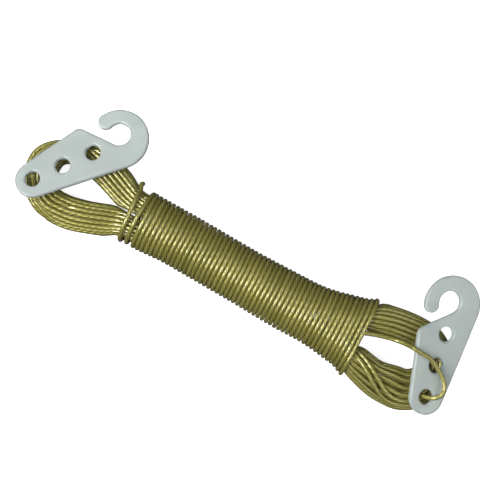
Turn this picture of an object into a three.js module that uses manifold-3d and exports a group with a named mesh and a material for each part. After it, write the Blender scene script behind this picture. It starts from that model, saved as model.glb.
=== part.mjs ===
// A hank of coated clothesline, bound at its waist by its own line, with a plastic line hook tied to each end.
// Units are millimetres. +Z is up and the hank lies on the plane z = 0, with +X along it from the left loop to
// the right one. The origin is under the middle of the waist.

import * as THREE from 'three';
import { mergeVertices } from 'three/addons/utils/BufferGeometryUtils.js';
import Module from 'manifold-3d';

const wasm = await Module();
wasm.setup();

// The line: a clear jacket over a stranded wire.
const lineDiameter = 2.1;
const wireDiameter = 1.0;
const lineRadius = lineDiameter / 2;

// Clearances.
const touchGap = 0.3;
const wrapGap = 0.45;
const skinGap = 0.35;
const waistGap = 0.5;
const leastLoopGap = 0.4;

// The hank: the outer layer of its loops, laid round a plain core. Its bundles change between the waist and the
// loops' ends by the shares below: of the way along, of the opening, of the drop and of the waist's bow.
const loopCount = 16;
const strandRingRadius = 6.9;
const waistRingRadius = 4.25;
const waistFlank = 4.3;
const loopRadius = 13.2;
const loopCentre = 87.5;
const waistLeft = 56;
const waistRight = 28;
const loopLift = 0.3;
const bow = 1.7;
const leftWaistShares = [[0, 0, 0, 0], [0.5, 0.6, 0, 0], [1, 1, 1, 0]];
const rightWaistShares = [[0, 0, 0, 1], [0.333, 0.26, 0, 0.5], [0.667, 0.74, 0, 0], [1, 1, 1, 0]];
const arcSteps = 6;
const tubeSides = 6;
const coreSides = 16;
const firstRingShare = 0.153;
const startLift = 1.4;

// The winding round the waist.
const windingTurns = 22;
const windingPitch = 5.4;
const cornerSteps = 3;
const flatShare = 0.1;
const tailLength = 2.8;
const tailSlopeShares = [0.2, 0.3, -0.93];

// Both line hooks are one moulding.
const hookThickness = 3.2;
const hookEdgeRound = 0.8;
const holeDiameter = 6.9;
const holePitch = 14.9;
const holeCount = 3;
const tailEndRadius = 8.3;
const tailEndAcross = -0.3;
const shoulderRadius = 4.1;
const shoulderSetback = 3.1;
const shoulderAcross = 9.4;
const throatRadius = 5.15;
const throatWall = 5.5;
const throatAcross = 3.0;
const armWidth = 8.7;
const armOffsetAlong = 1.0;
const armOffsetAcross = 1.8;
const tipAngle = 112.5;
const outlineStepAngle = 18;
const edgeSteps = 2;

// How each hook lies on its loop: its tail hole's bearing from the loop's centre and its distance beyond the
// loop's mean radius, its heading, and its roll.
const leftHook = { side: -1, bearing: 211.8, beyond: 2.9, heading: 52.0, roll: -14 };
const rightHook = { side: 1, bearing: -35.9, beyond: 3.35, heading: 100.8, roll: 20 };

// Routes of the two line ends, chosen by hand. The free stretch is in the hank's own frame and the threaded
// stretch in its hook's: along the holes, across them, and up from the underside.
const leftFreeRoute = [[-100.3, -13.2, 16.4]];
const leftThreadedRoute = [[-1.2, -2.2, -1.6], [-0.2, -0.6, 0.4], [0.3, 0.5, 2.2], [0.8, 1.5, 3.9]];
const rightFreeRoute = [[63.2, 2.4, 20.3], [69.5, 4.6, 19.6], [77.0, 6.4, 19.8], [82.6, 7.1, 22.8]];
const rightThreadedRoute = [
  [19.3, 13.6, 4.2], [18.5, 10.6, 4.9], [17.2, 5.0, 5.1], [14.1, 0.6, 5.3], [11.9, -2.0, 5.5], [9.4, -4.1, 5.9],
  [6.7, -5.4, 6.3], [4.0, -5.4, 6.4], [1.8, -4.3, 5.8], [0.5, -2.4, 4.3], [-0.1, -0.5, 1.8], [-0.1, 1.5, -0.5],
];
const tieSides = 8;
const tieSteps = 28;
const searchSteps = 400;
const cutWireLength = 2.6;
const cutWireProud = 0.6;

const radians = THREE.MathUtils.degToRad;
const bundleRadius = strandRingRadius + lineRadius;
const flatDepth = flatShare * lineDiameter;
const waistBottom = lineDiameter - flatDepth + wrapGap;
const waistOffset = waistRingRadius + lineRadius + waistGap / 2;

const mix = (a, b, share) => a + (b - a) * share;

// The two bundles of the hank

// A bundle's cross-section at one station: how far it stands from the middle, its ring, its height and its bow.
function sectionOf(opening, drop, bowed) {
  const radius = mix(waistRingRadius, strandRingRadius, opening);
  const flank = mix(waistFlank, 0, opening);
  const middle = mix(waistBottom, loopLift, drop) + radius + flank + lineRadius;
  return { offset: mix(waistOffset, loopRadius, opening), radius, flank, middle, shift: -bow * bowed };
}

// The stations along a run, from the left loop to the right one.
const runSections = [
  ...leftWaistShares.map(([way, ...shares]) => ({ x: -mix(waistLeft, loopCentre, way), ...sectionOf(...shares) })),
  ...rightWaistShares.map(([way, ...shares]) => ({ x: mix(waistRight, loopCentre, way), ...sectionOf(...shares) })),
].sort((a, b) => a.x - b.x);

// A bundle's cross-section anywhere along a run, straight between two stations.
function bundleAt(x) {
  const next = Math.max(1, runSections.findIndex((section) => section.x >= x));
  const [before, after] = [runSections[next - 1], runSections[next]];
  const share = (x - before.x) / (after.x - before.x);
  return Object.fromEntries(Object.keys(before).map((key) => [key, mix(before[key], after[key], share)]));
}

// A point of the strand ring, from the outer flank up over the top and round, with its outward direction. The
// ring is round in the loops and upright in the waist.
function ringPoint(share, radius, flank) {
  const perimeter = 2 * Math.PI * radius + 4 * flank;
  const place = (share - Math.floor(share)) * perimeter;
  const arc = Math.PI * radius;
  const ends = [flank, flank + arc, 3 * flank + arc, 3 * flank + 2 * arc];
  if (place < ends[0]) return { out: radius, up: place, angle: 0 };
  if (place < ends[1]) return onArc((place - ends[0]) / radius, radius, flank);
  if (place < ends[2]) return { out: -radius, up: flank - (place - ends[1]), angle: Math.PI };
  if (place < ends[3]) return onArc(Math.PI + (place - ends[2]) / radius, radius, -flank);
  return { out: radius, up: place - perimeter, angle: 0 };
}

function onArc(angle, radius, centreUp) {
  return { out: radius * Math.cos(angle), up: centreUp + radius * Math.sin(angle), angle };
}

// The places along one loop at which its sections stand: along the lower run, round the right end, back along
// the upper run and round the left end.
function loopStations() {
  const run = runSections.map(({ x }) => x);
  const turn = Array.from({ length: arcSteps - 1 }, (_, i) => Math.PI * (i + 1) / arcSteps - Math.PI / 2);
  return [
    ...run.map((x) => ({ x, side: -1 })),
    ...turn.map((angle) => ({ x: loopCentre, angle })),
    ...run.map((x) => ({ x, side: 1 })).reverse(),
    ...turn.map((angle) => ({ x: -loopCentre, angle: angle + Math.PI })),
  ];
}

// Where a point of the cross-section lies at a station.
function stationPoint(station, out, up) {
  const bundle = bundleAt(station.x);
  if (station.side) {
    return new THREE.Vector3(station.x, station.side * (bundle.offset + out) + bundle.shift, bundle.middle + up);
  }
  const reach = loopRadius + out;
  return new THREE.Vector3(
    station.x + reach * Math.cos(station.angle),
    bundle.shift + reach * Math.sin(station.angle),
    bundle.middle + up,
  );
}

const stations = loopStations();
const lowerStartStation = stations.length - 1;
const upperEndStation = stations.findIndex(({ x, side }) => side === 1 && x === -waistLeft);

// The outer layer is one unbroken strand. It starts on the left end of the hank, where the line leaves for its
// hook, moves on by one place round the bundle in each loop, and ends under the winding.
function strandPoints() {
  const steps = (loopCount - 1) * stations.length + (upperEndStation - lowerStartStation + stations.length);
  const points = [];
  for (let step = 0; step <= steps; step += 1) {
    const station = stations[(lowerStartStation + step) % stations.length];
    const { radius, flank } = bundleAt(station.x);
    const share = firstRingShare + step / stations.length / loopCount;
    const { out, up, angle } = ringPoint(share, radius, flank);
    const lift = step ? 0 : startLift;
    points.push(stationPoint(station, out + lift * Math.cos(angle), up + lift * Math.sin(angle)));
  }
  const straight = points[0].clone().sub(points[1]).setLength(lineDiameter);
  return [points[0].clone().add(straight), ...points];
}

// Solids

// A closed tube whose rings stand square to its path, joined ring by ring.
function tube(points, radius, sides) {
  const frames = ringFrames(points);
  const positions = [];
  const index = [];
  points.forEach((point, i) => {
    const { across, over } = frames[i];
    for (let side = 0; side < sides; side += 1) {
      const angle = (side + 0.5) * 2 * Math.PI / sides;
      const corner = point.clone()
        .addScaledVector(across, radius * Math.cos(angle))
        .addScaledVector(over, radius * Math.sin(angle));
      positions.push(...corner.toArray());
    }
  });
  joinRings(index, points.length, sides, false);
  for (const [ring, flip] of [[0, true], [points.length - 1, false]]) {
    for (let side = 1; side < sides - 1; side += 1) {
      const face = [ring * sides, ring * sides + side, ring * sides + side + 1];
      index.push(...(flip ? face.reverse() : face));
    }
  }
  return indexedGeometry(positions, index);
}

// Frames carried along a path without twist.
function ringFrames(points) {
  const frames = [];
  let across = null;
  points.forEach((point, i) => {
    const before = points[Math.max(0, i - 1)];
    const after = points[Math.min(points.length - 1, i + 1)];
    const tangent = after.clone().sub(before).normalize();
    across = across ?? new THREE.Vector3(-tangent.y, tangent.x, 0);
    across = across.clone().addScaledVector(tangent, -across.dot(tangent)).normalize();
    frames.push({ tangent, across, over: tangent.clone().cross(across) });
  });
  return frames;
}

function joinRings(index, rings, sides, closed) {
  const joins = closed ? rings : rings - 1;
  for (let ring = 0; ring < joins; ring += 1) {
    const next = (ring + 1) % rings;
    for (let side = 0; side < sides; side += 1) {
      const [a, b] = [ring * sides + side, ring * sides + (side + 1) % sides];
      const [c, d] = [next * sides + side, next * sides + (side + 1) % sides];
      index.push(a, b, d, a, d, c);
    }
  }
}

function indexedGeometry(positions, index) {
  const geometry = new THREE.BufferGeometry();
  geometry.setAttribute('position', new THREE.Float32BufferAttribute(positions, 3));
  geometry.setIndex(index);
  return geometry;
}

function toManifold(geometry) {
  const bare = geometry.clone();
  bare.deleteAttribute('normal');
  bare.deleteAttribute('uv');
  const merged = mergeVertices(bare);
  return new wasm.Manifold(new wasm.Mesh({
    numProp: 3,
    vertProperties: new Float32Array(merged.attributes.position.array),
    triVerts: new Uint32Array(merged.index.array),
  }));
}

function fromManifold(solid) {
  const mesh = solid.getMesh();
  return indexedGeometry(Array.from(mesh.vertProperties), Array.from(mesh.triVerts));
}

function finish(geometry) {
  const sharp = geometry.index ? geometry.toNonIndexed() : geometry;
  sharp.computeVertexNormals();
  return sharp;
}

// The plain core fills the inside of the strand ring all the way round the hank.
function coreGeometry() {
  const inset = lineRadius + skinGap;
  const positions = [];
  const index = [];
  stations.forEach((station) => {
    const { radius, flank } = bundleAt(station.x);
    for (let side = 0; side < coreSides; side += 1) {
      const { out, up, angle } = ringPoint(-side / coreSides, radius, flank);
      const point = stationPoint(station, out - inset * Math.cos(angle), up - inset * Math.sin(angle));
      positions.push(...point.toArray());
    }
  });
  joinRings(index, stations.length, coreSides, true);
  return indexedGeometry(positions, index);
}

// The winding

// One turn goes round the hull of both bundles: up its +Y side, over the top, down and back underneath. Each
// corner is given as its centre's side and height and the angle at which it starts.
const cornerShares = [[1, 1, 0], [-1, 1, 1], [-1, -1, 2], [1, -1, 3]];

function windingPoint(x, [side, height, quarter], cornerShare) {
  const { offset, radius, flank, middle, shift } = bundleAt(x);
  const reach = radius + lineDiameter + wrapGap;
  const angle = (quarter + cornerShare) * Math.PI / 2;
  return new THREE.Vector3(
    x,
    side * offset + shift + reach * Math.cos(angle),
    middle + height * flank + reach * Math.sin(angle),
  );
}

// The share of a turn at which each corner starts, counted from the top of the +Y side, for the waist's shape.
function cornerStarts() {
  const corner = (waistRingRadius + lineDiameter + wrapGap) * Math.PI / 2;
  const across = 2 * waistOffset;
  const high = 2 * waistFlank;
  const whole = 4 * corner + 2 * across + 2 * high;
  return {
    starts: [0, corner + across, 2 * corner + across + high, 3 * corner + 2 * across + high].map((s) => s / whole),
    cornerTurn: corner / whole,
    bottomMiddle: (3 * corner + 1.5 * across + high) / whole,
  };
}

function windingPoints() {
  const { starts, cornerTurn, bottomMiddle } = cornerStarts();
  const firstTurn = -Math.round(windingTurns / 2);
  const points = [];
  for (let turn = 0; turn < windingTurns; turn += 1) {
    cornerShares.forEach((corner, i) => {
      for (let step = 0; step <= cornerSteps; step += 1) {
        const turnShare = starts[i] + cornerTurn * step / cornerSteps;
        const x = windingPitch * (firstTurn + turn + turnShare + 1 - bottomMiddle);
        points.push(windingPoint(x, corner, step / cornerSteps));
      }
    });
  }
  const lastX = windingPitch * (firstTurn + windingTurns + 1 - bottomMiddle);
  points.push(windingPoint(lastX, cornerShares[0], 0));
  const tail = new THREE.Vector3(...tailSlopeShares).setLength(tailLength);
  return [points[0].clone().add(tail), ...points];
}

// A bore in the end of a line, which shows the wire inside it.
function boreAndWire(end, inward) {
  const turned = new THREE.Quaternion().setFromUnitVectors(new THREE.Vector3(0, 1, 0), inward);
  const depth = cutWireLength - cutWireProud + touchGap;
  const place = (radius, length, from) => {
    const geometry = new THREE.CylinderGeometry(radius, radius, length, tieSides);
    geometry.applyQuaternion(turned);
    const middle = end.clone().addScaledVector(inward, from + length / 2);
    return geometry.translate(middle.x, middle.y, middle.z);
  };
  return {
    bore: place(wireDiameter / 2 + touchGap, depth + lineDiameter, -lineDiameter),
    wire: place(wireDiameter / 2, cutWireLength, -cutWireProud),
  };
}

function windingSolids() {
  const points = windingPoints();
  const inward = points[1].clone().sub(points[0]).normalize();
  const { bore, wire } = boreAndWire(points[0], inward);
  const span = 2 * (loopCentre + loopRadius + bundleRadius);
  const floor = new THREE.BoxGeometry(span, span, span).translate(0, 0, -span / 2);
  const solid = toManifold(tube(points, lineRadius, tubeSides)).subtract(toManifold(floor));
  return { geometry: fromManifold(solid.subtract(toManifold(bore))), wire, points };
}

// The line hook

const polar = (centre, radius, angle) => new THREE.Vector2(Math.cos(angle), Math.sin(angle))
  .multiplyScalar(radius).add(centre);

function arcPoints(centre, radius, from, to) {
  const steps = Math.max(2, Math.ceil(Math.abs(to - from) / radians(outlineStepAngle)));
  return Array.from({ length: steps + 1 }, (_, i) => polar(centre, radius, mix(from, to, i / steps)));
}

// The outline is five arcs and the straight edges that touch them: the tail end, the outside of the curl, its
// tip, the throat and the shoulder. The shoulder and the throat keep their distance to the last hole.
function hookEdges() {
  const lastHole = (holeCount - 1) * holePitch;
  const throatAlong = lastHole + holeDiameter / 2 + throatWall + throatRadius;
  const tail = new THREE.Vector2(0, tailEndAcross);
  const shoulder = new THREE.Vector2(lastHole - shoulderSetback, shoulderAcross);
  const throat = new THREE.Vector2(throatAlong, throatAcross);
  const armOffset = new THREE.Vector2(armOffsetAlong, armOffsetAcross);
  const curl = throat.clone().sub(armOffset);
  const curlRadius = throatRadius + armWidth;
  const tipWay = radians(tipAngle);
  const lean = armOffset.dot(polar(new THREE.Vector2(), 1, tipWay));
  const tipRadius = (curlRadius ** 2 - throatRadius ** 2 - armOffset.lengthSq() - 2 * throatRadius * lean)
    / (2 * (curlRadius + throatRadius + lean));
  const tip = polar(throat, throatRadius + tipRadius, tipWay);
  const backSpan = curl.clone().sub(tail);
  const back = backSpan.angle() - Math.asin((curlRadius - tailEndRadius) / backSpan.length());
  const mouthSpan = throat.clone().sub(shoulder);
  const mouth = mouthSpan.angle() - 2 * Math.PI + Math.acos((shoulderRadius + throatRadius) / mouthSpan.length());
  const frontSpan = shoulder.clone().sub(tail);
  const front = frontSpan.angle() + Math.acos((tailEndRadius - shoulderRadius) / frontSpan.length());
  return { tail, shoulder, throat, curl, curlRadius, tip, tipRadius, tipWay, back, mouth, front };
}

function hookGeometry() {
  const e = hookEdges();
  const curlEnd = e.tip.clone().sub(e.curl).angle();
  const outline = [
    ...arcPoints(e.curl, e.curlRadius, e.back - Math.PI / 2, curlEnd),
    ...arcPoints(e.tip, e.tipRadius, curlEnd, e.tipWay + Math.PI).slice(1),
    ...arcPoints(e.throat, throatRadius, e.tipWay, e.mouth - Math.PI).slice(1),
    ...arcPoints(e.shoulder, shoulderRadius, e.mouth, e.front),
    ...arcPoints(e.tail, tailEndRadius, e.front, e.back + 3 * Math.PI / 2),
  ];
  const shape = new THREE.Shape(outline);
  for (let hole = 0; hole < holeCount; hole += 1) {
    const rim = arcPoints(new THREE.Vector2(hole * holePitch, 0), holeDiameter / 2, 0, 2 * Math.PI).slice(1);
    shape.holes.push(new THREE.Path(rim));
  }
  return new THREE.ExtrudeGeometry(shape, {
    depth: hookThickness - 2 * hookEdgeRound,
    bevelEnabled: true,
    bevelThickness: hookEdgeRound,
    bevelSize: hookEdgeRound,
    bevelOffset: -hookEdgeRound,
    bevelSegments: edgeSteps,
  }).translate(0, 0, hookEdgeRound);
}

// A hook lies on the shoulder of its loop, sloping down outwards at its roll. Its height is where a plane of
// that slope rests on the loop's round end.
function hookFrame({ side, bearing, beyond, heading, roll }) {
  const slope = radians(Math.abs(roll));
  const downhill = radians(heading + (roll < 0 ? 90 : -90));
  const tail = polar(new THREE.Vector2(side * loopCentre, 0), loopRadius + beyond, radians(bearing));
  const reach = (loopRadius + beyond) * Math.cos(radians(bearing) - downhill);
  const loopMiddle = loopLift + bundleRadius;
  const height = loopMiddle + bundleRadius / Math.cos(slope) + (loopRadius - reach) * Math.tan(slope);
  const group = new THREE.Group();
  group.position.set(tail.x, tail.y, height + touchGap);
  group.rotation.set(radians(roll), 0, radians(heading), 'ZYX');
  group.updateMatrixWorld(true);
  return group;
}

// The line's two ends

class Stretch extends THREE.Curve {
  constructor(curve, from, to) {
    super();
    this.whole = curve;
    this.from = from;
    this.to = to;
  }

  getPoint(share, target = new THREE.Vector3()) {
    return target.copy(this.whole.getPointAt(mix(this.from, this.to, share)));
  }
}

function tieCurve(before, free, threaded, frame) {
  const points = [...before, ...free.map((p) => new THREE.Vector3(...p))];
  threaded.forEach((p) => points.push(new THREE.Vector3(...p).applyMatrix4(frame.matrixWorld)));
  return new THREE.CatmullRomCurve3(points, false, 'centripetal');
}

function tieTube(curve, from, to) {
  const centre = new THREE.Vector2();
  const section = Array.from({ length: tieSides }, (_, i) => polar(centre, lineRadius, 2 * Math.PI * i / tieSides));
  return new THREE.ExtrudeGeometry(new THREE.Shape(section), {
    steps: Math.ceil(tieSteps * (to - from)),
    bevelEnabled: false,
    extrudePath: new Stretch(curve, from, to),
  });
}

function withCutEnd(curve, from, to) {
  const { bore, wire } = boreAndWire(curve.getPointAt(to), curve.getTangentAt(to).negate());
  return { geometry: fromManifold(toManifold(tieTube(curve, from, to)).subtract(toManifold(bore))), wire };
}

// Assembly

const materials = {
  line: { color: 0x9a9346, roughness: 0.35, metalness: 0.1 },
  wire: { color: 0xb8b6a8, roughness: 0.35, metalness: 1 },
  hook: { color: 0xdfe5e4, roughness: 0.45, metalness: 0 },
};

const group = new THREE.Group();

function add(name, geometry, material, parent = group) {
  const mesh = new THREE.Mesh(finish(geometry), new THREE.MeshStandardMaterial(materials[material]));
  mesh.name = name;
  parent.add(mesh);
  return mesh;
}

const strand = strandPoints();
const winding = windingSolids();
const leftFrame = hookFrame(leftHook);
const rightFrame = hookFrame(rightHook);
group.add(leftFrame, rightFrame);

add('inner_loops', coreGeometry(), 'line');
add('outer_loops', tube(strand, lineRadius, tubeSides), 'line');
add('waist_winding', winding.geometry, 'line');
add('winding_wire', winding.wire, 'wire');
add('hook_left', hookGeometry(), 'hook', leftFrame);
add('hook_right', hookGeometry(), 'hook', rightFrame);

const leaving = strand[0].clone().sub(strand[1]).normalize();
const leftStart = [touchGap, lineDiameter].map((way) => strand[0].clone().addScaledVector(leaving, way));
const leftCurve = tieCurve(leftStart, leftFreeRoute, leftThreadedRoute, leftFrame);
const leftTie = withCutEnd(leftCurve, 0, 1);
add('left_tie', leftTie.geometry, 'line');
add('left_tie_wire', leftTie.wire, 'wire');

const rightCurve = tieCurve([], rightFreeRoute, rightThreadedRoute, rightFrame);
const crossing = new THREE.Vector3(...rightThreadedRoute[0]).applyMatrix4(rightFrame.matrixWorld);
const crossingShare = nearestShare(rightCurve, crossing);
const gapShare = touchGap / rightCurve.getLength();
add('right_lead', tieTube(rightCurve, 0, crossingShare - gapShare / 2), 'line');
const rightTie = withCutEnd(rightCurve, crossingShare + gapShare / 2, 1);
add('right_tie', rightTie.geometry, 'line');
add('right_tie_wire', rightTie.wire, 'wire');

function nearestShare(curve, point) {
  const shares = Array.from({ length: searchSteps + 1 }, (_, i) => i / searchSteps);
  const far = shares.map((share) => curve.getPointAt(share).distanceTo(point));
  return shares[far.indexOf(Math.min(...far))];
}

// The least gap of a wound tube to itself, measured between points along its path that are further apart along
// the path than they could be by the tube's own thickness.
function leastGap(points) {
  const fine = [];
  for (let i = 0; i < points.length - 1; i += 1) {
    const parts = Math.ceil(points[i].distanceTo(points[i + 1]) / lineRadius);
    for (let part = 0; part < parts; part += 1) fine.push(points[i].clone().lerp(points[i + 1], part / parts));
  }
  const apart = Math.ceil(4 * lineDiameter / lineRadius);
  let least = Infinity;
  for (let i = 0; i < fine.length; i += 1) {
    for (let j = i + apart; j < fine.length; j += 1) least = Math.min(least, fine[i].distanceTo(fine[j]));
  }
  return least - lineDiameter;
}

for (const [name, points] of [['outer_loops', strand], ['waist_winding', winding.points]]) {
  console.log(`${name}: least gap to itself ${leastGap(points).toFixed(3)} mm, wanted over ${leastLoopGap}`);
}

export default group;
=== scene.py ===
"""A hank of golden coated clothesline with a milky line hook on each end, seen from above on white."""

import math

import bpy
import numpy as np
from mathutils import Matrix, Vector


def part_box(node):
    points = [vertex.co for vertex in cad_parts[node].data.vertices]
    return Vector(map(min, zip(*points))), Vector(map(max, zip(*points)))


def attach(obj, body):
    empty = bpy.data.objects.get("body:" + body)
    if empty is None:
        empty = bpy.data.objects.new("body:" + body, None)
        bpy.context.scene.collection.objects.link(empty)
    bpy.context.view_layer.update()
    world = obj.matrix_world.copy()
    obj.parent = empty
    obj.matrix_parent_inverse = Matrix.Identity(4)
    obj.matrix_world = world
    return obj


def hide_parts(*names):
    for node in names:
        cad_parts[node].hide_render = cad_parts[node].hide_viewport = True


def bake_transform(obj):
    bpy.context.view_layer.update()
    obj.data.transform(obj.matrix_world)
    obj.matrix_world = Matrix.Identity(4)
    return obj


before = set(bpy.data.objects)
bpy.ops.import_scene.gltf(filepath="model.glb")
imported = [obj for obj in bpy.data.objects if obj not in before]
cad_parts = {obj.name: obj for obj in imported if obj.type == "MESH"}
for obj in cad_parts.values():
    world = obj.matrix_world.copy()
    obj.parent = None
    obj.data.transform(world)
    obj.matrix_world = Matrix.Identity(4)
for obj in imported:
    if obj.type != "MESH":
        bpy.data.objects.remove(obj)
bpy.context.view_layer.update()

# Lengths are in metres and angles in degrees. The line, and the gap between pieces that touch.
LINE = 0.0021
LINE_RADIUS = LINE / 2
TOUCH_GAP = 0.0003

# The hank lies along x. Its two bundles are pressed together in the waist and open into a loop at each end.
# In the waist each is half of an upright oval, and in the loops it is nearly round.
WAIST_WIDE = 0.00995
WAIST_HIGH = 0.00885
WAIST_OFFSET = 0.00555
RING_RADIUS = 0.0069
BUNDLE_WIDE = 0.0066
# A loop's round end: its centre from the hank's middle, its lift off the ground, and the radius of its
# bundle's middle, first as packed, where the hooks rest on it, and then as the real strands lie.
LOOP_CENTRE = 0.0875
LOOP_LIFT = 0.0003
LOOP_RADIUS = 0.0132
STRAND_LOOP_RADIUS = 0.0139
# Where each change starts and where it is whole, from the hank's middle: the bundles open, lie looser, drop
# to the ground, and spread a little wider towards each other, which ends again at the last two places.
LEFT_FLARE = (0.0505, 0.0845)
RIGHT_FLARE = (0.035, 0.085)
LEFT_LOOSE = (0.050, 0.063)
RIGHT_LOOSE = (0.056, 0.067)
DROP = (0.064, 0.092)
SPREAD = 0.0003
SPREAD_RUN = (0.054, 0.064, 0.078, 0.0875)
# How much wider the hank is than its plain form, at places along it.
WIDENING = ((-0.0555, 0), (-0.0500, 0.0007), (-0.044, 0.0006), (-0.034, 0.0002), (0.004, 0.0002),
            (0.026, 0.0008), (0.052, 0.0010), (0.070, 0))
# The waist bows to one side between these places, and sags a little to that side near its left end.
BOW = 0.0017
BOW_LEFT = -0.060
BOW_DEEP = 0.028
BOW_RIGHT = 0.068
LEFT_SAG = 0.0006
LEFT_SAG_RUN = (0.030, 0.047)
# Under the left hook the loops are drawn together, the outer ones most, but for two strands that stand off
# beside it.
LEFT_SQUEEZE = 0.0014
LEFT_SQUEEZE_ANGLE = 137.0
LEFT_TUCK = 0.0018
LEFT_TUCK_ANGLE = 118.0
STRAY_STRANDS = (14, 15)
STRAY = 0.0009
STRAY_ANGLE = 165.0
# The lower bundle beside the right hook lies looser than the others: its outer strands spread a little, and
# its inner ones cut the loop's corner.
SLACK_SHARE = 0.17
SLACK_RUN = (0.066, 0.082)
CORNER_CUT = 0.0032
CORNER_BACK = 0.0018
CORNER_RUN = (0.076, 0.088)
# Under the right hook's tie, the loops are pressed flatter by this share.
RIGHT_PRESS = 0.05
RIGHT_PRESS_ANGLE = -27.0

# The real loops: how many strands lie in each ring of a bundle, from its outside in.
RING_COUNTS = (18, 12, 7, 1)
RING_STEP = 0.0023
LOOSE_STEP = 0.0026
FIRST_STRAND_ANGLE = 55.0
# The stretch of the loops that the winding hides, how far from the middle a loop's upper run climbs over to
# the next strand's place, and where the line ends under the winding.
HIDDEN = (-0.047, 0.058)
CLIMB_RUN = 0.045
LINE_STOP = -0.02
# Two strands of the outer ring that cross over the lower bundle beside the right hook.
CROSSING_STRANDS = (3, 4)
CROSSING_TURN = 75.0
CROSSING_RUN = (0.059, 0.096)
CROSSING_PULL = 0.6
# How the strands settle: how narrow and high the rings start in the waist, how hard strands push each other
# apart and how much the line evens itself out along its way in each round, and how far and fast it wanders.
WAIST_START_SHARES = (0.62, 1.25)
PUSH_SHARE = 0.35
SMOOTH_SHARE = 0.18
WANDER = 0.0011
WANDER_PACES = (0.7, 2.6)

# The winding: its pitch, the ends of its close turns, and where its loose turns lie at the left.
WINDING_PITCH = 0.00218
WINDING_START = -0.0490
WINDING_END = 0.0638
LOOSE_TURNS = ((0, -0.0573), (0.5, -0.0544), (1, -0.0505), (1.25, -0.0519), (1.5, -0.0512), (2, -0.0490))
LOOSE_COUNT = 2
# How far round the first turn starts, and how far a turn leans off its place by chance.
FIRST_TURN_SHARE = 0.05
TURN_LEAN = 0.00006
# The cut end of the winding, and how far the middle of its bare wire lies inside it.
TAIL_SLOPE = (0.2, 0.3, -0.93)
WIRE_INSET = 0.0007

# The photograph's view: a camera straight above, turned so that the hank lies across the picture. The scale
# is metres for each pixel.
PHOTO_SIZE = 500
PHOTO_SCALE = 0.000458
PHOTO_TURN = 28.6
PHOTO_CENTRE = (0.0, 0.0107, 0.010)
CAMERA_DISTANCE = 0.80
SENSOR = 0.036
NEAREST_SEEN = 0.01


# Small helpers

def way_along(path):
    """How far along a path each of its points lies."""
    return np.concatenate([[0], np.cumsum(np.linalg.norm(np.diff(path, axis=0), axis=1))])


def mix(a, b, share):
    """The value that lies this share of the way from a to b."""
    return a + (b - a) * share


def smooth(low, high, value):
    """A soft step, from 0 where the value is low to 1 where it is high."""
    share = np.clip((value - low) / (high - low), 0, 1)
    return share * share * (3 - 2 * share)


def colour(text):
    """Linear RGBA of an sRGB hex colour."""
    values = [int(text[i:i + 2], 16) / 255 for i in (1, 3, 5)]
    linear = [v / 12.92 if v <= 0.04045 else ((v + 0.055) / 1.055) ** 2.4 for v in values]
    return (*linear, 1)


def show(name, mesh, material):
    """A new object of this mesh in the scene, with a material."""
    piece = bpy.data.objects.new(name, mesh)
    bpy.context.scene.collection.objects.link(piece)
    mesh.materials.append(material)
    return piece


# Camera

def make_camera():
    """The photograph's view."""
    camera = bpy.data.objects.new("camera", bpy.data.cameras.new("camera"))
    bpy.context.scene.collection.objects.link(camera)
    width = PHOTO_SIZE * PHOTO_SCALE
    camera.data.sensor_width = SENSOR * 1000
    camera.data.lens = 1000 * SENSOR * CAMERA_DISTANCE / width
    camera.location = Vector(PHOTO_CENTRE) + Vector((0, 0, CAMERA_DISTANCE))
    camera.rotation_euler = (0, 0, math.radians(PHOTO_TURN))
    camera.data.clip_start = NEAREST_SEEN
    bpy.context.scene.camera = camera


make_camera()


# The hank's bundles

def bundle_at(x):
    """A bundle's section at x: how loose it lies, its distance from the middle, size, height and bow."""
    flare = np.where(x < 0, smooth(*LEFT_FLARE, -x), smooth(*RIGHT_FLARE, x))
    loose = np.where(x < 0, smooth(*LEFT_LOOSE, -x), smooth(*RIGHT_LOOSE, x))
    begin, full, turn, end = SPREAD_RUN
    spread = SPREAD * smooth(begin, full, abs(x)) * (1 - smooth(turn, end, abs(x)))
    widening = np.interp(x, *zip(*WIDENING))
    high = mix(WAIST_HIGH, RING_RADIUS, loose)
    bottom = mix(LINE, LOOP_LIFT, smooth(*DROP, abs(x)))
    return {
        "loose": loose,
        "offset": mix(WAIST_OFFSET, STRAND_LOOP_RADIUS, flare) - spread + widening,
        "wide": BUNDLE_WIDE + spread,
        "high": high,
        "middle": bottom + LINE_RADIUS + high,
        "shift": -BOW * (smooth(BOW_LEFT, BOW_DEEP, x) - smooth(BOW_DEEP, BOW_RIGHT, x))
        - LEFT_SAG * smooth(*LEFT_SAG_RUN, -x),
    }


def loop_stations(left_steps=18, hidden_steps=12, right_steps=15, arc_steps=24):
    """x, side and angle of the stations of one loop: lower run, right end, upper run, left end.

    The side is -1 on the lower run, 1 on the upper run and 0 in the round ends.
    """
    left, right = HIDDEN
    run = np.concatenate([
        np.linspace(-LOOP_CENTRE, left, left_steps, endpoint=False),
        np.linspace(left, right, hidden_steps, endpoint=False),
        np.linspace(right, LOOP_CENTRE, right_steps + 1),
    ])
    turn = np.linspace(-math.pi / 2, math.pi / 2, arc_steps + 1)[1:-1]
    x = np.concatenate([run, 0 * turn + LOOP_CENTRE, run[::-1], 0 * turn - LOOP_CENTRE])
    side = np.concatenate([0 * run - 1, 0 * turn, 0 * run + 1, 0 * turn])
    angle = np.concatenate([0 * run - math.pi / 2, turn, 0 * run + math.pi / 2, turn + math.pi])
    return x, side, angle


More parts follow.
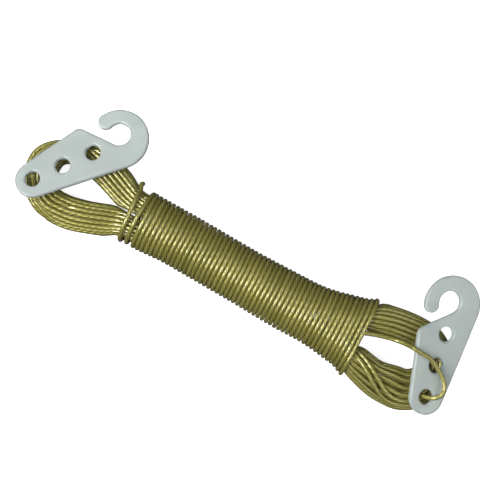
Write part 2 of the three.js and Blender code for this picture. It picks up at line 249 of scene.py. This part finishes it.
def strand_slots():
    """Places of the strands in a bundle's cross-section, ring by ring, each beside the one before."""
    slots = []
    angle = math.radians(FIRST_STRAND_ANGLE)
    for ring, count in enumerate(RING_COUNTS):
        radius = RING_STEP * (len(RING_COUNTS) - 1 - ring)
        for _ in range(count):
            slots.append((radius * math.cos(angle), radius * math.sin(angle)))
            angle += 2 * math.pi / count
        angle -= math.pi / count
    return np.array(slots + slots[-1:])


def drawn_in(places, section, ride):
    """Places drawn back inside the bundle's outline, half an oval in the waist and a whole one beyond."""
    out, up = places[..., 0], places[..., 1]
    wide, high = section["wide"][:, None] + ride, RING_RADIUS + ride
    past = np.maximum(1, np.hypot(out / wide, up / high))
    inmost = LINE_RADIUS - section["offset"][:, None]
    whole = np.stack([np.maximum(out / past, inmost), up / past], axis=-1)
    across = np.maximum(out + WAIST_OFFSET, LINE_RADIUS)
    past = np.maximum(1, np.hypot(across / WAIST_WIDE, up / WAIST_HIGH))
    half = np.stack([across / past - WAIST_OFFSET, up / past], axis=-1)
    return mix(half, whole, section["loose"][:, None, None])


def turned(places, angle):
    """Places turned about the bundle's middle, clockwise."""
    out, up = places[..., 0], places[..., 1]
    cosine, sine = np.cos(angle), np.sin(angle)
    return np.stack([out * cosine + up * sine, up * cosine - out * sine], axis=-1)


def settled_strands(section, moved, crossed, crossing, rounds=160):
    """Places of every strand in every station's section, wandering a little and pressed clear of each other.

    moved is how far each strand has climbed to the next one's place. crossed and crossing say how far the
    crossing strands have turned about the bundle, and how far out they ride over the others.
    """
    slots = strand_slots()
    count = len(slots) - 1
    strands = list(CROSSING_STRANDS)
    start = np.repeat(slots[None, :-1], len(moved), axis=0)
    start[:, strands] = turned(start[:, strands], math.radians(CROSSING_TURN) * crossed[:, None])
    ride = np.zeros((len(moved), count))
    ride[:, strands] = (LINE * crossing)[:, None]
    places = mix(start, slots[None, 1:], moved[:, None, None])
    loose = section["loose"][:, None, None]
    places = places * mix(np.array(WAIST_START_SHARES), np.ones(2), loose) + wander(len(moved), count)
    bridge = start[:, strands] * (1 + LINE * crossing / RING_RADIUS)[:, None, None]
    pull = CROSSING_PULL * (crossing > 0)[:, None, None]
    step = mix(LINE, LOOSE_STEP, loose)
    for _ in range(rounds):
        apart = places[:, :, None] - places[:, None]
        far = np.linalg.norm(apart, axis=-1) + np.eye(count)
        push = np.clip(step - far, 0, None) / far
        places = places + PUSH_SHARE * (apart * push[..., None]).sum(axis=2)
        along = places.transpose(1, 0, 2).reshape(-1, 2)
        along[1:-1] += SMOOTH_SHARE * (along[:-2] + along[2:] - 2 * along[1:-1])
        places = along.reshape(count, -1, 2).transpose(1, 0, 2)
        places[:, strands] = mix(places[:, strands], bridge, pull)
        places = drawn_in(places, section, ride)
    return places


def wander(stations, count, waves=5, seed=4):
    """A slow sideways wander along the whole line, the same on every run."""
    chance = np.random.default_rng(seed)
    way = np.arange(stations * count) / stations
    total = np.zeros((stations * count, 2))
    for _ in range(waves):
        pace = chance.uniform(*WANDER_PACES)
        phase = chance.uniform(0, 2 * math.pi, 2)
        total += np.sin(2 * math.pi * way[:, None] * pace + phase) * WANDER / waves ** 0.5
    return total.reshape(count, stations, 2).transpose(1, 0, 2)


def near_angle(angle, at):
    """1 at one angle of a round end, fading to nothing about 45 degrees away."""
    return np.cos(angle - math.radians(at)) ** 8


def loops_path():
    """The line's path through all of its loops, from beside the left hook's tie to under the winding."""
    x, side, angle = loop_stations()
    section = bundle_at(x)
    left_end = (side == 0) * (angle > math.pi / 2)
    left_angles = (LEFT_SQUEEZE_ANGLE, LEFT_TUCK_ANGLE, STRAY_ANGLE)
    squeezed, tucked, astray = [near_angle(angle, at) * left_end for at in left_angles]
    section["wide"] = section["wide"] - LEFT_SQUEEZE * squeezed
    moved = np.where(side > 0, smooth(-CLIMB_RUN, CLIMB_RUN, -x), 0)
    moved[np.cumsum(side > 0) == np.sum(side > 0)] = 1
    way = np.where(side < 0, x, LOOP_CENTRE + STRAND_LOOP_RADIUS * (angle + math.pi / 2))
    crossed = np.where((side > 0) | (x < 0) & (side == 0), 1 - moved, smooth(*CROSSING_RUN, way))
    crossing = np.where((side > 0) | (x < 0), 0, np.sin(math.pi * smooth(*CROSSING_RUN, way)))
    places = settled_strands(section, moved, crossed, crossing)
    # What is loose or pressed at the ends: slack beside the right hook, and flatter under its tie.
    slack = smooth(*SLACK_RUN, x) * np.where(side == 0, np.clip(-np.sin(angle), 0, 1) ** 2, side < 0)
    out, up = places[..., 0] + SLACK_SHARE * slack[:, None] * np.maximum(places[..., 0], 0), places[..., 1]
    pressed = near_angle(angle, RIGHT_PRESS_ANGLE) * (side == 0) * (angle < math.pi / 2)
    up = up * (1 - RIGHT_PRESS * pressed[:, None])
    # From the section to the hank: straight across on the runs, and round the loop's centre in its ends.
    on_run = side[:, None] != 0
    reach = STRAND_LOOP_RADIUS + out - LEFT_TUCK * tucked[:, None] * np.clip(out / BUNDLE_WIDE, 0, 1)
    reach[:, list(STRAY_STRANDS)] += (STRAY * astray)[:, None]
    run_across = side[:, None] * (section["offset"][:, None] + out)
    across = np.where(on_run, run_across, reach * np.sin(angle)[:, None])
    along = np.where(on_run, x[:, None] + 0 * out, x[:, None] + reach * np.cos(angle)[:, None])
    # The lower right corner, which the inner strands cut.
    low = np.where(side == 0, (1 - np.sin(angle)) / 2, side < 0) * smooth(*CORNER_RUN, x)
    inmost = np.clip(-out / BUNDLE_WIDE, 0, 1)
    across = across + CORNER_CUT * inmost * low[:, None]
    along = along - CORNER_BACK * inmost * (np.where(side == 0, np.cos(angle), 0) * (x > 0))[:, None]
    height = section["middle"][:, None] + up
    points = np.stack([along, across + section["shift"][:, None], height], axis=-1)
    line = points.transpose(1, 0, 2).reshape(-1, 3)
    upper_end = np.argmax((side > 0) & (x < LINE_STOP))
    return line[: (points.shape[1] - 1) * len(x) + upper_end]


# The winding

def hull_outline(x, steps=13):
    """The closed line that a turn's middle follows at x: the hull of both bundles, from its +Y side up."""
    section = bundle_at(x)
    angle = np.linspace(0, math.pi / 2, steps)
    round_way = np.stack([np.cos(angle), np.sin(angle)], axis=-1)
    oval = round_way * (WAIST_WIDE, WAIST_HIGH) - (WAIST_OFFSET, 0)
    edge = mix(oval, round_way * (section["wide"], RING_RADIUS), section["loose"])
    outward = mix(round_way / (WAIST_WIDE, WAIST_HIGH), round_way / RING_RADIUS, section["loose"])
    outward = outward / np.linalg.norm(outward, axis=1)[:, None]
    quarter = edge + LINE * outward + (section["offset"], 0)
    half = np.vstack([quarter, quarter[::-1] * (-1, 1)])
    return np.vstack([half, half * -1, quarter[:1]])


def hull_point(x, share):
    """A point of a turn of the winding at x: share of the way round, from the +Y side up."""
    outline = hull_outline(x)
    way = way_along(outline)
    return [np.interp((share % 1) * way[-1], way, outline[:, k]) for k in range(2)]


def winding_path(steps=36, seed=7):
    """The line's cut end, two loose turns on the left, then turn beside turn to the right end."""
    turns = (WINDING_END - WINDING_START) / WINDING_PITCH
    chance = np.random.default_rng(seed)
    lean = chance.normal(0, TURN_LEAN, int(turns) + 2 + LOOSE_COUNT)
    points = []
    for step in range(int((turns + LOOSE_COUNT) * steps) + 1):
        turn = step / steps + FIRST_TURN_SHARE
        x = WINDING_START + (turn - LOOSE_COUNT) * WINDING_PITCH
        if turn < LOOSE_COUNT:
            x = np.interp(turn, *zip(*LOOSE_TURNS))
        x += mix(lean[int(turn)], lean[int(turn) + 1], turn % 1)
        section = bundle_at(x)
        out, up = hull_point(x, turn)
        points.append((x, out + section["shift"], section["middle"] + up))
    slope = Vector(TAIL_SLOPE).normalized()
    low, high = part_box("winding_wire")
    end = (Vector(low) + Vector(high)) / 2 + slope * WIRE_INSET
    tail = spline([end, end - slope * LINE, points[1], points[3]])
    return np.vstack([tail[:-1], points[3:]])


# Meshes

# A direction that no path starts along, to set the first ring of a tube by.
SLANT = (0.3, 0.2, 1)


def tube_mesh(name, path, sides=12):
    """A closed round tube along a path, with its way round and its length along as its UV map."""
    path = np.asarray(path, float)
    ahead = np.gradient(path, axis=0)
    ahead /= np.linalg.norm(ahead, axis=1)[:, None]
    across = np.zeros_like(path)
    last = np.cross(ahead[0], SLANT)
    for i, direction in enumerate(ahead):
        last = last - direction * last.dot(direction)
        last = last / np.linalg.norm(last)
        across[i] = last
    over = np.cross(ahead, across)
    angles = np.arange(sides) * 2 * math.pi / sides
    ring = across[:, None] * np.cos(angles)[:, None] + over[:, None] * np.sin(angles)[:, None]
    vertices = (path[:, None] + LINE_RADIUS * ring).reshape(-1, 3)
    way = way_along(path)
    faces, corners = [], []
    for i in range(len(path) - 1):
        for k in range(sides):
            a, b = i * sides + k, i * sides + (k + 1) % sides
            faces.append((a, b, b + sides, a + sides))
            left, right = k / sides, (k + 1) / sides
            corners += [(left, way[i]), (right, way[i]), (right, way[i + 1]), (left, way[i + 1])]
    end = (len(path) - 1) * sides
    faces += [tuple(range(sides - 1, -1, -1)), tuple(range(end, end + sides))]
    corners += [(0, way[0])] * sides + [(0, way[-1])] * sides
    mesh = bpy.data.meshes.new(name)
    mesh.from_pydata(vertices.tolist(), [], faces)
    mesh.uv_layers.new(name="UVMap").data.foreach_set("uv", np.array(corners, float).ravel())
    mesh.polygons.foreach_set("use_smooth", [True] * (len(faces) - 2) + [False] * 2)
    mesh.update()
    return mesh


def spline(points, step=0.0006, parts=24):
    """A smooth path through given points, in even steps."""
    points = np.asarray(points, float)
    padded = np.vstack([2 * points[0] - points[1], points, 2 * points[-1] - points[-2]])
    knots = np.concatenate([[0], np.cumsum(np.linalg.norm(np.diff(padded, axis=0), axis=1) ** 0.5)])
    fine = []
    for i in range(1, len(padded) - 2):
        p, t = padded[i - 1:i + 3], knots[i - 1:i + 3]
        for u in np.linspace(t[1], t[2], parts, endpoint=False):
            a = [((t[k + 1] - u) * p[k] + (u - t[k]) * p[k + 1]) / (t[k + 1] - t[k]) for k in range(3)]
            b = [((t[k + 2] - u) * a[k] + (u - t[k]) * a[k + 1]) / (t[k + 2] - t[k]) for k in range(2)]
            fine.append(((t[2] - u) * b[0] + (u - t[1]) * b[1]) / (t[2] - t[1]))
    fine = np.array(fine + [padded[-2]])
    way = way_along(fine)
    even = np.linspace(0, way[-1], int(way[-1] / step) + 1)
    return np.stack([np.interp(even, way, fine[:, k]) for k in range(3)], axis=1)


# Where the hooks lie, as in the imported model

HOOK_THICKNESS = 0.0032
# A hook's tail hole lies at this bearing from its loop's centre, this far beyond the bundle's middle. Its
# heading is the way its length points, and it rolls about that.
LEFT_HOOK = {"side": -1, "bearing": 211.8, "beyond": 0.0029, "heading": 52.0, "roll": -14}
RIGHT_HOOK = {"side": 1, "bearing": -35.9, "beyond": 0.00335, "heading": 100.8, "roll": 20}


def hook_matrix(hook):
    """A hook's place: a plane of its slope that rests on the loop's round end."""
    slope = math.radians(abs(hook["roll"]))
    downhill = math.radians(hook["heading"] + (90 if hook["roll"] < 0 else -90))
    bearing, distance = math.radians(hook["bearing"]), LOOP_RADIUS + hook["beyond"]
    reach = distance * math.cos(bearing - downhill)
    bundle = RING_RADIUS + LINE_RADIUS
    rise = (LOOP_RADIUS - reach) * math.tan(slope)
    height = LOOP_LIFT + bundle + bundle / math.cos(slope) + rise + TOUCH_GAP
    tail_x = hook["side"] * LOOP_CENTRE + distance * math.cos(bearing)
    place = Matrix.Translation((tail_x, distance * math.sin(bearing), height))
    turn = Matrix.Rotation(math.radians(hook["heading"]), 4, "Z")
    return place @ turn @ Matrix.Rotation(math.radians(hook["roll"]), 4, "X")


LEFT_PLACE = hook_matrix(LEFT_HOOK)
RIGHT_PLACE = hook_matrix(RIGHT_HOOK)

# The line's two ends, point by point. Hidden and free stretches are in the hank's frame and threaded ones in
# their hook's.
LEFT_FREE = [(-0.1003, -0.0132, 0.0164)]
LEFT_THREADED = [(-0.0012, -0.0022, -0.0016), (-0.0002, -0.0006, 0.0004), (0.0003, 0.0005, 0.0022),
                 (0.0008, 0.0015, 0.0039)]
RIGHT_HIDDEN = (0.0585, 0.0004, 0.0184)
RIGHT_FREE = [(0.0632, 0.0024, 0.0203), (0.0695, 0.0046, 0.0196), (0.0770, 0.0064, 0.0198),
              (0.0826, 0.0071, 0.0228)]
RIGHT_THREADED = [(0.0193, 0.0136, 0.0042), (0.0185, 0.0106, 0.0049), (0.0172, 0.0050, 0.0051),
                  (0.0141, 0.0006, 0.0053), (0.0119, -0.0020, 0.0055), (0.0094, -0.0041, 0.0059),
                  (0.0067, -0.0054, 0.0063), (0.0040, -0.0054, 0.0064), (0.0018, -0.0043, 0.0058),
                  (0.0005, -0.0024, 0.0043), (-0.0001, -0.0005, 0.0018), (-0.0001, 0.0015, -0.0005)]


def placed(matrix, points):
    """Points of a hook's own frame, in the hank's frame."""
    return [tuple(matrix @ Vector(p)) for p in points]


# Materials

# The strand's lay and its outer wires, and the real sizes of the slow and fine patterns, in metres.
LAY_LENGTH = 0.018
OUTER_WIRES = 6
COLOUR_DRIFT = 0.036
JACKET_GRAIN = 0.0011
HOOK_CLOUD = 0.011
HOOK_GRAIN = 0.0006
WIRE_GRAIN = 0.0004


def material(name):
    """A new material with an empty node tree."""
    made = bpy.data.materials.new(name)
    made.use_nodes = True
    made.node_tree.nodes.clear()
    return made


def node(tree, kind, links=None, **settings):
    """One node with its settings and links. A link is an input's name and a socket or value for it."""
    made = tree.nodes.new(kind)
    for key, value in settings.items():
        setattr(made, key, value)
    for name, value in (links or {}).items():
        socket = made.inputs[name]
        if isinstance(value, bpy.types.NodeSocket):
            tree.links.new(value, socket)
        else:
            socket.default_value = value
    return made


def ramp(tree, factor, stops):
    """A colour ramp with these two stops, each a place and a colour."""
    made = node(tree, "ShaderNodeValToRGB", {"Fac": factor})
    for element, (position, value) in zip(made.color_ramp.elements, stops):
        element.position = position
        element.color = value
    return made.outputs["Color"]


def line_material():
    """A clear golden PVC jacket over a bright twisted strand: glossy, with the lay's glints inside."""
    made = material("golden PVC over twisted strand")
    tree = made.node_tree
    uv = node(tree, "ShaderNodeUVMap", uv_map="UVMap").outputs["UV"]
    parts = node(tree, "ShaderNodeSeparateXYZ", {"Vector": uv})
    # The strand's lay: its outer wires turn once round it in a lay's length.
    turn = node(tree, "ShaderNodeMath", {0: parts.outputs["Y"], 1: 1 / LAY_LENGTH}, operation="MULTIPLY")
    twist = node(tree, "ShaderNodeMath", {0: parts.outputs["X"], 1: turn.outputs[0]}, operation="ADD")
    wires = node(tree, "ShaderNodeMath", {0: twist.outputs[0], 1: OUTER_WIRES * 2 * math.pi},
                 operation="MULTIPLY")
    lay = node(tree, "ShaderNodeMath", {0: wires.outputs[0]}, operation="SINE")
    # Slow differences of colour along the line, and fine ones of the jacket's surface.
    slow_at = node(tree, "ShaderNodeCombineXYZ", {"X": parts.outputs["Y"]})
    slow = node(tree, "ShaderNodeTexNoise", {
        "Vector": slow_at.outputs[0], "Scale": 1 / COLOUR_DRIFT, "Detail": 2.0})
    object_at = node(tree, "ShaderNodeTexCoord").outputs["Object"]
    fine = node(tree, "ShaderNodeTexNoise", {"Vector": object_at, "Scale": 1 / JACKET_GRAIN, "Detail": 2.0})
    base = ramp(tree, slow.outputs["Fac"], [(0.3, colour("#8a894f")), (0.7, colour("#adaa71"))])
    # Painted shade: the colour is darkened and greened where the line turns away from the eye, which darkens
    # the winding's edges and the gaps between strands; it stands partly for the longer look through the
    # jacket there.
    facing = node(tree, "ShaderNodeLayerWeight", {"Blend": 0.35}).outputs["Facing"]
    painted_rim_shading = ramp(tree, facing, [(0.5, colour("#ffffff")), (1.0, colour("#77806a"))])
    # The jacket's thin edge is clear right through, and light comes past the strand into the gaps.
    clear = node(tree, "ShaderNodeMapRange", {
        "Value": facing, "From Min": 0.55, "From Max": 1.0, "To Min": 1.0, "To Max": 0.85})
    seen = node(tree, "ShaderNodeLightPath").outputs["Is Camera Ray"]
    stops = node(tree, "ShaderNodeMapRange", {"Value": seen, "To Min": 0.55})
    solid = node(tree, "ShaderNodeMath", {0: clear.outputs[0], 1: stops.outputs[0]}, operation="MULTIPLY")
    # Painted glint and shade of the lay: the wires twist as the real strand does, and the colour is made
    # brighter over each outer wire and darker between them.
    lay_glint_and_shade = node(tree, "ShaderNodeMapRange", {
        "Value": lay.outputs[0], "From Min": -1.0, "To Min": 0.66, "To Max": 1.16})
    laid = node(tree, "ShaderNodeVectorMath", {0: base, 1: lay_glint_and_shade.outputs[0]}, operation="MULTIPLY")
    shade = node(tree, "ShaderNodeVectorMath", {0: laid.outputs[0], 1: painted_rim_shading}, operation="MULTIPLY")
    rough = node(tree, "ShaderNodeMapRange", {"Value": fine.outputs["Fac"], "To Min": 0.32, "To Max": 0.48})
    bump = node(tree, "ShaderNodeBump", {"Height": lay.outputs[0], "Strength": 0.5, "Distance": 0.00012})
    skin = node(tree, "ShaderNodeBump", {
        "Height": fine.outputs["Fac"], "Strength": 0.12, "Distance": 0.00008})
    shader = node(tree, "ShaderNodeBsdfPrincipled", {
        "Base Color": shade.outputs[0], "Metallic": 0.45, "Roughness": rough.outputs[0],
        "Normal": bump.outputs[0], "Coat Weight": 0.9, "Coat Roughness": 0.1, "Coat IOR": 1.5,
        "Coat Tint": colour("#f1ecc4"), "Coat Normal": skin.outputs[0], "Alpha": solid.outputs[0],
        "Subsurface Weight": 0.5, "Subsurface Radius": (1.0, 0.9, 0.5), "Subsurface Scale": 0.002,
    })
    node(tree, "ShaderNodeOutputMaterial", {"Surface": shader.outputs[0]})
    return made


def hook_material(marks):
    """Milky moulded polypropylene of a soft gloss, with the round mark of a pin on each hook's tip."""
    made = material("milky polypropylene")
    tree = made.node_tree
    at = node(tree, "ShaderNodeTexCoord").outputs["Object"]
    cloud = node(tree, "ShaderNodeTexNoise", {"Vector": at, "Scale": 1 / HOOK_CLOUD, "Detail": 3.0})
    grain = node(tree, "ShaderNodeTexNoise", {"Vector": at, "Scale": 1 / HOOK_GRAIN, "Detail": 2.0})
    base = ramp(tree, cloud.outputs["Fac"], [(0.3, colour("#b8c3c1")), (0.7, colour("#c2cbc7"))])
    # Painted highlight: the rounded edges are painted paler than the faces, as the light they catch.
    facing = node(tree, "ShaderNodeLayerWeight", {"Blend": 0.5}).outputs["Facing"]
    painted_rim_shading = node(tree, "ShaderNodeMapRange", {"Value": facing, "From Min": 0.1, "From Max": 0.7})
    painted_rim_highlight = node(tree, "ShaderNodeVectorMath", {0: (0.16, 0.15, 0.15), 1: painted_rim_shading.outputs[0]},
                operation="MULTIPLY")
    base_with_painted_highlight = node(tree, "ShaderNodeVectorMath", {0: base, 1: painted_rim_highlight.outputs[0]}, operation="ADD")
    rough = node(tree, "ShaderNodeMapRange", {"Value": cloud.outputs["Fac"], "To Min": 0.30, "To Max": 0.40})
    left_far, right_far = [
        node(tree, "ShaderNodeVectorMath", {0: at, 1: mark}, operation="DISTANCE").outputs["Value"]
        for mark in marks]
    nearest = node(tree, "ShaderNodeMath", {0: left_far, 1: right_far}, operation="MINIMUM")
    ring = node(tree, "ShaderNodeMath", {0: nearest.outputs[0], 1: MARK_RADIUS, 2: MARK_WIDTH},
                operation="COMPARE")
    sunk = node(tree, "ShaderNodeBump", {"Height": ring.outputs[0], "Strength": 0.8, "Distance": 0.00012},
                invert=True)
    bump = node(tree, "ShaderNodeBump", {
        "Height": grain.outputs["Fac"], "Strength": 0.15, "Distance": 0.00008, "Normal": sunk.outputs[0]})
    shader = node(tree, "ShaderNodeBsdfPrincipled", {
        "Base Color": base_with_painted_highlight.outputs[0], "Roughness": rough.outputs[0], "Normal": bump.outputs[0],
        "IOR": 1.49, "Transmission Weight": 0.4, "Subsurface Weight": 0.7,
        "Subsurface Radius": (0.9, 1.0, 1.1), "Subsurface Scale": 0.002,
    })
    node(tree, "ShaderNodeOutputMaterial", {"Surface": shader.outputs[0]})
    return made


def wire_material():
    """Galvanised wire where it is cut: bright, grey and slightly rough."""
    made = material("galvanised wire")
    tree = made.node_tree
    at = node(tree, "ShaderNodeTexCoord").outputs["Object"]
    grain = node(tree, "ShaderNodeTexNoise", {"Vector": at, "Scale": 1 / WIRE_GRAIN, "Detail": 2.0})
    base = ramp(tree, grain.outputs["Fac"], [(0.3, colour("#8f8e84")), (0.7, colour("#c4c2b4"))])
    shader = node(tree, "ShaderNodeBsdfPrincipled", {"Base Color": base, "Metallic": 1.0, "Roughness": 0.4})
    node(tree, "ShaderNodeOutputMaterial", {"Surface": shader.outputs[0]})
    return made


LINE_FINISH = line_material()
WIRE_FINISH = wire_material()


# The cords

def make_line():
    """The line: from the left hook's tail hole, through all the loops, to under the winding."""
    loops = loops_path()
    lead = spline([*placed(LEFT_PLACE, LEFT_THREADED)[::-1], *LEFT_FREE[::-1], *loops[:2]])
    path = np.vstack([lead[:-1], loops[1:]])
    piece = show("line", tube_mesh("line", path), LINE_FINISH)
    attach(piece, "hank")
    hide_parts("inner_loops", "outer_loops", "left_tie")


def make_winding():
    """The winding round the waist, with its cut end at the left."""
    path = winding_path()
    piece = show("winding", tube_mesh("winding", path), LINE_FINISH)
    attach(piece, "hank")
    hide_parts("waist_winding")


def make_right_end():
    """The line's other end: over the bundle and the right hook, into its tail hole."""
    threaded = placed(RIGHT_PLACE, RIGHT_THREADED)
    path = spline([RIGHT_HIDDEN, *RIGHT_FREE, *threaded])
    piece = show("line_end", tube_mesh("line_end", path, sides=16), LINE_FINISH)
    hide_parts("right_lead", "right_tie")
    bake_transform(piece)


make_line()
make_winding()
make_right_end()

for wire in ("winding_wire", "left_tie_wire", "right_tie_wire"):
    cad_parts[wire].data.materials.clear()
    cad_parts[wire].data.materials.append(WIRE_FINISH)


# The hooks

HOLES = 3
HOLE_PITCH = 0.0149
HOLE_RADIUS = 0.00345
EDGE_ROUND = 0.0011
EDGE_STEPS = 4
# The plate's outline is arcs about these centres, in the hook's own frame: its tail hole is at the origin.
SHOULDER = Vector((0.0267, 0.0094))
SHOULDER_RADIUS = 0.0041
THROAT = SHOULDER + Vector((0.0172, -0.0064))
THROAT_RADIUS = 0.00515
CURL = THROAT - Vector((0.0010, 0.0018))
CURL_RADIUS = THROAT_RADIUS + 0.0087
TAIL = Vector((0, -0.0003))
TAIL_RADIUS = 0.0083
TIP_ANGLE = math.radians(112.5)
# Degrees between the points of an arc, on the outline and round a hole.
OUTLINE_STEP = 4
HOLE_STEP = 8
# Points nearer than this are one.
WELD_WITHIN = 0.000002
# The round mark of the mould's pin, at the middle of the hook's tip.
MARK_RADIUS = 0.0015
MARK_WIDTH = 0.00016


def polar(centre, radius, angle):
    """The point of a circle at this angle."""
    return centre + Vector((math.cos(angle), math.sin(angle))) * radius


def angle_of(v):
    """The direction of a flat vector."""
    return math.atan2(v.y, v.x)


def arc(centre, radius, start, stop, step=OUTLINE_STEP):
    """Points along an arc, both of its ends included."""
    count = max(3, math.ceil(abs(stop - start) / math.radians(step)))
    return [polar(centre, radius, mix(start, stop, i / count)) for i in range(count + 1)]


def hook_outline():
    """The plate's outline and its tip's centre.

    Five arcs and the straight edges that touch them, anticlockwise from the curl's back. The tip is the round
    that touches both the curl's back and the throat.
    """
    offset = THROAT - CURL
    lean = offset.dot(polar(Vector((0, 0)), 1, TIP_ANGLE))
    spare = CURL_RADIUS ** 2 - THROAT_RADIUS ** 2 - offset.length_squared - 2 * THROAT_RADIUS * lean
    tip_radius = spare / (2 * (CURL_RADIUS + THROAT_RADIUS + lean))
    tip = polar(THROAT, THROAT_RADIUS + tip_radius, TIP_ANGLE)
    tail_to_curl, tail_to_shoulder, shoulder_to_throat = CURL - TAIL, SHOULDER - TAIL, THROAT - SHOULDER
    back = angle_of(tail_to_curl) - math.asin((CURL_RADIUS - TAIL_RADIUS) / tail_to_curl.length)
    mouth = angle_of(shoulder_to_throat) + math.acos(
        (SHOULDER_RADIUS + THROAT_RADIUS) / shoulder_to_throat.length)
    front = angle_of(tail_to_shoulder) + math.acos((TAIL_RADIUS - SHOULDER_RADIUS) / tail_to_shoulder.length)
    curl_end = angle_of(tip - CURL)
    return [
        *arc(CURL, CURL_RADIUS, back - math.pi / 2, curl_end),
        *arc(tip, tip_radius, curl_end, TIP_ANGLE + math.pi)[1:],
        *arc(THROAT, THROAT_RADIUS, TIP_ANGLE, mouth - math.pi)[1:],
        *arc(SHOULDER, SHOULDER_RADIUS, mouth, front),
        *arc(TAIL, TAIL_RADIUS, front, back + 3 * math.pi / 2)[:-1],
    ], tip


def plate(name, loops, thickness, edge, matrix):
    """A flat plate with rounded edges, filled between its outline and its holes."""
    flat = bpy.data.curves.new(name, "CURVE")
    flat.dimensions = "2D"
    flat.fill_mode = "BOTH"
    flat.extrude = thickness / 2 - edge
    flat.bevel_depth = edge
    flat.bevel_resolution = EDGE_STEPS
    flat.offset = -edge
    for loop in loops:
        closed = flat.splines.new("POLY")
        closed.points.add(len(loop) - 1)
        for point, place in zip(closed.points, loop):
            point.co = (*place, 0, 1)
        closed.use_cyclic_u = True
    source = bpy.data.objects.new(name, flat)
    bpy.context.scene.collection.objects.link(source)
    bpy.context.view_layer.update()
    mesh = bpy.data.meshes.new_from_object(source.evaluated_get(bpy.context.evaluated_depsgraph_get()))
    bpy.data.objects.remove(source)
    mesh.transform(matrix @ Matrix.Translation((0, 0, thickness / 2)))
    return mesh


def make_hook(name, body, matrix):
    """A hook's moulded plate, in its place."""
    outline = hook_outline()[0]
    centres = [Vector((i * HOLE_PITCH, 0)) for i in range(HOLES)]
    holes = [arc(centre, HOLE_RADIUS, 2 * math.pi, 0, HOLE_STEP)[:-1] for centre in centres]
    mesh = plate(name, [outline, *holes], HOOK_THICKNESS, EDGE_ROUND, matrix)
    piece = show(name + "_moulding", mesh, HOOK_FINISH)
    weld = piece.modifiers.new("weld", "WELD")
    weld.merge_threshold = WELD_WITHIN
    piece.modifiers.new("normals", "WEIGHTED_NORMAL")
    mesh.polygons.foreach_set("use_smooth", [True] * len(mesh.polygons))
    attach(piece, body)
    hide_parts(name)


MARK = (*hook_outline()[1], HOOK_THICKNESS)
HOOK_FINISH = hook_material([placed(place, [MARK])[0] for place in (LEFT_PLACE, RIGHT_PLACE)])
make_hook("hook_left", "left_hook", LEFT_PLACE)
make_hook("hook_right", "right_hook", RIGHT_PLACE)


# Studio

SHEET_SIZE = 1.5


def make_floor():
    """A white sheet, of which the line mirrors only a dark grey, as it would of the sides of a light tent."""
    mesh = bpy.data.meshes.new("sheet")
    corners = [(x * SHEET_SIZE, y * SHEET_SIZE, 0) for x, y in ((-1, -1), (1, -1), (1, 1), (-1, 1))]
    mesh.from_pydata(corners, [], [(0, 1, 2, 3)])
    made = material("white sheet")
    tree = made.node_tree
    path = node(tree, "ShaderNodeLightPath").outputs
    seen = node(tree, "ShaderNodeMath", {0: path["Is Transmission Ray"], 1: 0.35, 2: path["Is Camera Ray"]},
                operation="MULTIPLY_ADD", use_clamp=True)
    white = node(tree, "ShaderNodeBsdfDiffuse", {"Color": (0.95, 0.95, 0.95, 1)})
    lift = node(tree, "ShaderNodeEmission", {"Color": (1, 1, 1, 1), "Strength": 0.8})
    bright = node(tree, "ShaderNodeAddShader", {0: white.outputs[0], 1: lift.outputs[0]})
    grey = node(tree, "ShaderNodeBsdfDiffuse", {"Color": (0.10, 0.10, 0.09, 1)})
    both = node(tree, "ShaderNodeMixShader", {0: seen.outputs[0], 1: grey.outputs[0], 2: bright.outputs[0]})
    node(tree, "ShaderNodeOutputMaterial", {"Surface": both.outputs[0]})
    show("floor", mesh, made)


def make_light(name, place, width, depth, power):
    """A flat lamp that faces the hank's middle."""
    light = bpy.data.lights.new(name, "AREA")
    light.shape = "RECTANGLE"
    light.size = width
    light.size_y = depth
    light.energy = power
    lamp = bpy.data.objects.new(name, light)
    lamp.location = place
    lamp.rotation_euler = (-Vector(place)).to_track_quat("-Z", "Y").to_euler()
    bpy.context.scene.collection.objects.link(lamp)


def make_world():
    """White to the camera. To the object it is a tent that is bright above and dark low down."""
    world = bpy.data.worlds.new("soft surround")
    bpy.context.scene.world = world
    world.use_nodes = True
    tree = world.node_tree
    tree.nodes.clear()
    way = node(tree, "ShaderNodeTexCoord").outputs["Generated"]
    height = node(tree, "ShaderNodeSeparateXYZ", {"Vector": way}).outputs["Z"]
    tent = ramp(tree, height, [(0.05, (0.045, 0.045, 0.045, 1)), (0.9, (0.24, 0.24, 0.24, 1))])
    seen = node(tree, "ShaderNodeLightPath").outputs["Is Camera Ray"]
    surround = node(tree, "ShaderNodeBackground", {"Color": tent})
    white = node(tree, "ShaderNodeBackground", {"Color": (1, 1, 1, 1)})
    both = node(tree, "ShaderNodeMixShader", {0: seen, 1: surround.outputs[0], 2: white.outputs[0]})
    node(tree, "ShaderNodeOutputWorld", {"Surface": both.outputs[0]})


make_floor()
make_light("front softbox", (-0.82, -0.50, 1.36), 0.68, 0.68, 26.5)
make_light("strip", (-0.83, -0.22, 1.43), 1.95, 0.18, 10)
make_light("right fill", (1.2, 0.15, 1.5), 1.6, 1.6, 14)
make_world()
bpy.context.scene.view_settings.view_transform = "Standard"
